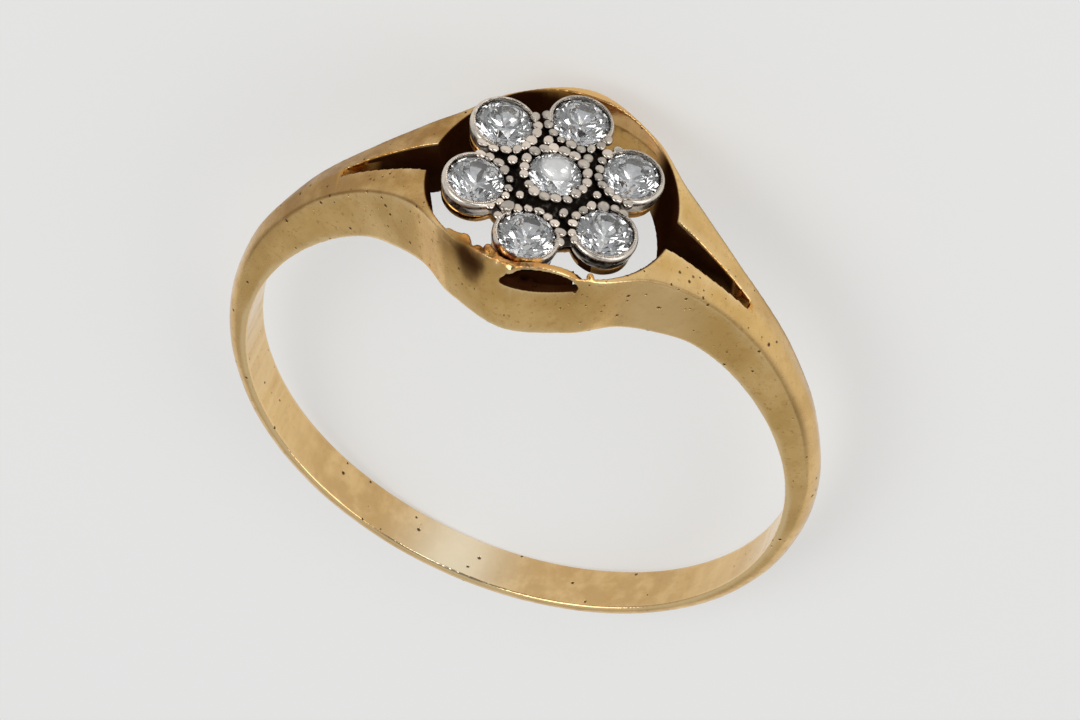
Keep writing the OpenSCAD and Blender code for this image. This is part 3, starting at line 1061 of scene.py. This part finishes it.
# parts of the setting: z is the height over the petals' rims, away the distance from its
# middle, turn the angle round a petal
settingParts = {
    "plate": (("z", -0.02, -0.1), ("away", 2.25, 2.0)),
    "middle": (("away", 1.4, 1.3),),
    "foot": (("z", -0.45, -0.62),),
    "wornGap": (("turn", 208, 216), ("turn", 298, 290), ("z", -0.11, -0.16), ("z", -0.42, -0.36)),
    "gilt": (("turn", 185, 215), ("turn", 330, 312)),
    "giltRim": (("turn", 222, 236), ("turn", 318, 304)),
    "inWindow": (("turn", 236, 246), ("turn", 316, 306), ("z", -0.2, -0.28)),
}


def aroundPetal(x, y, number):
    # angle and distance of each spot from the middle of a petal
    centre = atPetal(number).translation
    turn = np.degrees(np.arctan2(y - centre.y, x - centre.x)) % 360
    return turn, np.hypot(x - centre.x, y - centre.y)


def paintSetting(obj):
    x, y, z = spots(obj).T
    bend, away = bending(obj, 5), np.hypot(x, y)
    # paler worn rims, also a painted sheen along them
    wear, crevice = smoothStep(0.002, 0.012, bend), smoothStep(0.005, 0.02, -bend)

    def inPart(name, turn=0):
        return within(settingParts[name], z=z, away=away, turn=turn)

    # the plate between the grains is dark with dirt and painted shade, and so is the wall of the
    # middle
    grime = strongest(inPart("plate"), crevice, inPart("middle"), inPart("foot") * 0.4)
    turn, out = aroundPetal(x, y, 5)
    # painted shade in the gap worn under the rim of the front right petal
    grime = np.maximum(grime, inPart("wornGap", turn) * (out > 0.85))
    turn, out = aroundPetal(x, y, 4)
    wavy = smoothStep(-0.02, 0.12, -z + 0.1 * np.sin(turn / 6))
    gilt = inPart("gilt", turn) * (out > 0.86) * np.maximum(wavy, inPart("giltRim", turn))
    grime = grime * (1 - 0.7 * gilt)
    # what is seen of it through the window is in deep shade
    grime = np.maximum(grime, inPart("inWindow", turn) * (out > 0.8))
    paint(obj, wear=wear, grime=grime, gilt=gilt)


def buildSetting(material):
    low = -cluster["depth"]
    plateTop = -cluster["plateDrop"]
    inner = cluster["petalPitch"] - cluster["rimBreak"]
    middleLevel = cluster["middleRise"] - cluster["girdleDrop"]

    def petalSeat(number):
        return placed(stoneSeat(cluster["petalStoneRadius"], -cluster["girdleDrop"]),
                      atPetal(number))

    parts = []
    for number in range(6):
        petal = placed(petalBody(), atPetal(number))
        cutters = [petalSeat(number), solidDrum("break", inner, inner, plateTop, 2, 96)]
        if number == 5:
            cutters.append(wornGap())
        parts.append(cutAway(petal, cutters))
    hub = solidDrum("hub", cluster["hubRadius"], cluster["hubRadius"] - 0.04, low + 0.01,
                    plateTop, 96)
    cutAway(hub, [petalSeat(number) for number in range(6)])
    parts.append(cutAway(hub, [stoneSeat(cluster["middleStoneRadius"], middleLevel)]))
    boss = cluster["middleStoneRadius"] + cluster["middleWall"]
    rise = plateTop + cluster["middleRise"]
    middle = lathe("middle", [(0, low + 0.02), (boss + 0.3, low + 0.02),
                              (boss + 0.3, plateTop - 0.05), (boss + 0.05, plateTop + 0.05),
                              (boss - 0.15, plateTop + 0.15), (boss - 0.25, rise), (0, rise)], 72)
    parts.append(cutAway(middle, [stoneSeat(cluster["middleStoneRadius"], middleLevel)]))
    body = joined("clusterWhite", parts)
    print("setting: petals, hub and middle made and their seats cut")
    blended(body, cluster["voxel"], cluster["smoothPasses"], cluster["mostTriangles"])
    paintSetting(body)
    return dressed(body, layDown @ inCluster, material, "cluster_setting")


# one larger grain, pressed flat beside the front left petal
pressed = {
    "profile": ((0, -0.1), (0.15, -0.06), (0.19, 0), (0.15, 0.045), (0, 0.06)),
    "place": (-0.88, -1.66, 0.03),
    "turn": 0.9,
    "stretch": (1.35, 0.95, 1, 1),
}


def flatGrain(material):
    made = lathe("flatGrain", pressed["profile"], 24)
    spot = (Matrix.Translation(pressed["place"]) @ Matrix.Rotation(pressed["turn"], 4, "Z")
            @ Matrix.Diagonal(pressed["stretch"]))
    return dressed(made, layDown @ inCluster @ spot, material, "cluster_setting")


def beadTree():
    # puts a small ball, worn flat on top, on every point of the mesh that it is given
    tree = bpy.data.node_groups.new("ballsOnPoints", "GeometryNodeTree")
    for name, kind in (("Points", "Geometry"), ("Ball Radius", "Float"), ("Size Spread", "Float"),
                       ("Fineness", "Int"), ("Worn Level", "Float"), ("Worn Share", "Float"),
                       ("Seed", "Int"), ("Metal", "Material")):
        tree.interface.new_socket(name, in_out="INPUT", socket_type="NodeSocket" + kind)
    tree.interface.new_socket("Balls", in_out="OUTPUT", socket_type="NodeSocketGeometry")
    given = node(tree, "NodeGroupInput").outputs
    ball = node(tree, "GeometryNodeMeshIcoSphere")
    feedAll(ball, {"Radius": given["Ball Radius"], "Subdivisions": given["Fineness"]})

    # what stands above the worn level is pressed down to a share of its height
    split, whole = node(tree, "ShaderNodeSeparateXYZ"), node(tree, "ShaderNodeCombineXYZ")
    feed(split.inputs[0], node(tree, "GeometryNodeInputPosition").outputs[0])
    level = times(given["Ball Radius"], given["Worn Level"])
    over = maths("MAXIMUM", maths("SUBTRACT", split.outputs[2], level), 0)
    height = maths("ADD", maths("MINIMUM", split.outputs[2], level),
                   times(over, given["Worn Share"]))
    for target, source in zip(whole.inputs, (split.outputs[0], split.outputs[1], height)):
        feed(target, source)
    press = node(tree, "GeometryNodeSetPosition")
    feedAll(press, {"Geometry": ball.outputs["Mesh"], "Position": whole.outputs[0]})

    spread = node(tree, "FunctionNodeRandomValue", data_type="FLOAT_VECTOR")
    feedAll(spread, {0: maths("SUBTRACT", 1, given["Size Spread"]),
                     1: maths("ADD", 1, given["Size Spread"]), "Seed": given["Seed"]})
    place = node(tree, "GeometryNodeInstanceOnPoints")
    feedAll(place, {"Points": given["Points"], "Instance": press.outputs["Geometry"],
                    "Scale": spread.outputs[0]})
    balls = place.outputs["Instances"]
    for kind in ("RealizeInstances", "SetShadeSmooth", "SetMaterial"):
        step = node(tree, "GeometryNode" + kind)
        feed(step.inputs["Geometry"], balls)
        balls = step.outputs["Geometry"]
    feed(step.inputs["Material"], given["Metal"])
    feed(node(tree, "NodeGroupOutput").inputs["Balls"], balls)
    return tree


grains = {
    "radius": 0.16,
    "spread": 0.2,
    "drop": 0.1,
    "shift": 0.04,
    "seed": 7,
    "dirtLevel": (0.34, -0.12),
    "tone": 0.4,
    "toneSpread": 0.9,
    "toneSlope": 0.12,
    "toneChange": 5.3,
    "gapReach": 1.3,
    "middleCount": 18,
    "petalTurns": (-76, -57, -37, -18, 0, 19, 38, 56, 75),
}


def ballsOn(name, points, tree, settings):
    made = newObject(name, points, [])
    step = made.modifiers.new("balls", "NODES")
    step.node_group = tree
    for socket in tree.interface.items_tree:
        if socket.name in settings:
            step[socket.identifier] = settings[socket.name]
    plain(made)
    # dark below with dirt and painted shade between the balls, and no two alike above
    heights = spots(made)[:, 2].reshape(len(points), -1)
    middles = heights.min(axis=1, keepdims=True) + settings["Ball Radius"]
    dirt = smoothStep(*grains["dirtLevel"], (heights - middles) / settings["Ball Radius"])
    tones = [grains["toneSpread"] * noise.noise(point * grains["toneChange"])
             + grains["tone"] - grains["toneSlope"] * (point.x + point.y) for point in points]
    paint(made, grime=dirt.ravel(), tone=np.repeat(tones, heights.shape[1]))
    return dressed(made, layDown @ inCluster, None, "cluster_setting")


def grainPoints():
    # one ring round the middle stone, an arc on the inner side of each petal, and one more in
    # each gap between two petals
    points = []
    size = grains["radius"]
    for x, y in circle(cluster["middleStoneRadius"] + size - 0.02, grains["middleCount"], 0.5):
        points.append(Vector((x, y, cluster["middleRise"] - grains["drop"])))
    for number in range(6):
        for turn in grains["petalTurns"]:
            x, y = onCircle(cluster["petalStoneRadius"] + size - 0.03, math.radians(180 + turn))
            points.append(atPetal(number) @ Vector((x, y, -grains["drop"])))
    for number in range(6):
        turn = math.radians(cluster["petalAngle"] + 30 + 60 * number)
        points.append(Vector((*onCircle(grains["gapReach"], turn), -0.02)))
    # worn grains never stand in true rows
    noise.seed_set(grains["seed"])
    for point in points:
        shift = noise.random_vector() * grains["shift"]
        point += Vector((shift.x, shift.y, shift.z * 0.6))
    return points


edging = {
    "radius": 0.034,
    "spread": 0.15,
    "seed": 3,
    "count": 60,
    "inset": 0.115,
    "halfTurn": 122,
    "wornOff": (-50, 48),
}


def edgingPoints():
    points = []
    away = cluster["petalRadius"] - edging["inset"]
    reach = cluster["petalPitch"] - cluster["rimBreak"] + 0.04
    for number in range(6):
        for turn in np.linspace(-edging["halfTurn"], edging["halfTurn"], edging["count"]):
            spot = atPetal(number) @ Vector((*onCircle(away, math.radians(turn)), -0.004))
            low, high = edging["wornOff"]
            gone = number == 4 and low < turn < high
            if not gone and math.hypot(spot.x, spot.y) > reach:
                points.append(spot)
    return points


stage = {
    "floorColour": (0.36, 0.36, 0.355),
    "floorGlow": (0.80, 0.80, 0.79),
    "glowStrength": 0.57,
    "worldColour": (0.80, 0.82, 0.85),
    "worldStrength": 0.66,
    "darkStrength": 0.22,
    "darkSide": (0.13, 0.668, 0.733),
    "imageWidth": 1080,
    "focalPixels": 5000,
    "sensor": 36,
    "lampAim": (0, 0, 0.004),
}
# soft lamps: name, place in metres, size in metres, strength, colour
lampRows = (
    ("keyLamp", (-0.2, 0.12, 0.32), 0.3, 2.0, (1.0, 0.98, 0.95)),
    ("fillLamp", (0.28, 0.1, 0.15), 0.25, 1.4, (1.0, 0.99, 0.97)),
    ("stoneLamp", (0.12, 0.3, 0.14), 0.12, 3.0, (1.0, 1.0, 1.0)),
)


def buildStage():
    floor = newObject("floor", [(-2, -2, 0), (2, -2, 0), (2, 2, 0), (-2, 2, 0)], [[0, 1, 2, 3]])
    material, tree, shader = newMaterial("paleFloor")
    feedAll(shader, {"Base Color": stage["floorColour"], "Roughness": 0.8,
                     "Emission Color": stage["floorGlow"],
                     "Emission Strength": stage["glowStrength"]})
    floor.data.materials.append(material)
    world = bpy.data.worlds.new("studio")
    world.use_nodes = True
    tree = world.node_tree
    back = tree.nodes["Background"]
    feed(back.inputs["Color"], stage["worldColour"])
    # the room is darker on the side where the photographer would stand
    side = node(tree, "ShaderNodeVectorMath", operation="DOT_PRODUCT")
    side.inputs[1].default_value = stage["darkSide"]
    feed(side.inputs[0], node(tree, "ShaderNodeTexCoord").outputs["Generated"])
    feed(back.inputs["Strength"], ranged(side.outputs["Value"], 0.7, 0.98,
                                         stage["worldStrength"], stage["darkStrength"]))
    scene.world = world
    scene.view_settings.view_transform = "Standard"
    for name, place, size, strength, colour in lampRows:
        lamp = bpy.data.lights.new(name, "AREA")
        lamp.shape, lamp.size, lamp.color = "DISK", size, colour
        lamp.energy = strength * math.pi * size * size
        obj = inScene(name, lamp)
        obj.location = place
        aim = Vector(stage["lampAim"]) - Vector(place)
        obj.rotation_euler = aim.to_track_quat("-Z", "Y").to_euler()


# camera fitted to the photograph, in the ring's own frame
view = {
    "place": (19.65505, -89.62892, 121.50022),
    "right": (0.9409776, 0.3254928, 0.0928205),
    "down": (0.3132533, -0.7336226, -0.6030507),
    "forward": (-0.1281934, 0.5965336, -0.7922841),
}


def buildCamera():
    data = bpy.data.cameras.new("camera")
    data.sensor_width = stage["sensor"]
    data.lens = stage["sensor"] * stage["focalPixels"] / stage["imageWidth"]
    data.clip_start, data.clip_end = 0.005, 20
    camera = inScene("camera", data)
    turn = Matrix.Rotation(ring["restTilt"] - math.pi / 2, 3, "X")
    axes = (Vector(view["right"]), -Vector(view["down"]), -Vector(view["forward"]))
    matrix = Matrix([turn @ axis for axis in axes]).transposed().to_4x4()
    matrix.translation = layDown @ Vector(view["place"])
    camera.matrix_world = matrix
    scene.camera = camera


gold = wornGold()
whiteMetal = wornWhiteMetal("wornWhiteMetal", False)
brightMetal = wornWhiteMetal("brightWhiteMetal", True)
stoneGlass = clearStone("clearStone")
# middle of the painted table reflection in the middle stone
cloud = layDown @ inCluster @ Vector((0, 0, stoneLook["cloudLevel"]))
cloudyGlass = clearStone("cloudyStone", cloud * 1000)
print("materials made")

buildShank(gold)
buildSetting(whiteMetal)
balls = beadTree()
ballsOn("grains", grainPoints(), balls, {
    "Ball Radius": grains["radius"], "Size Spread": grains["spread"], "Fineness": 3,
    "Worn Level": 0.3, "Worn Share": 0.4, "Seed": grains["seed"], "Metal": brightMetal})
flatGrain(brightMetal)
ballsOn("beadEdging", edgingPoints(), balls, {
    "Ball Radius": edging["radius"], "Size Spread": edging["spread"], "Fineness": 2,
    "Worn Level": 0.6, "Worn Share": 0.6, "Seed": edging["seed"], "Metal": brightMetal})

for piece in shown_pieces():
    if "stone" in piece.name:
        for place in piece.material_slots:
            place.material = cloudyGlass if "middle" in piece.name else stoneGlass
print("stones dressed")

buildStage()
buildCamera()
print("stage and camera set")
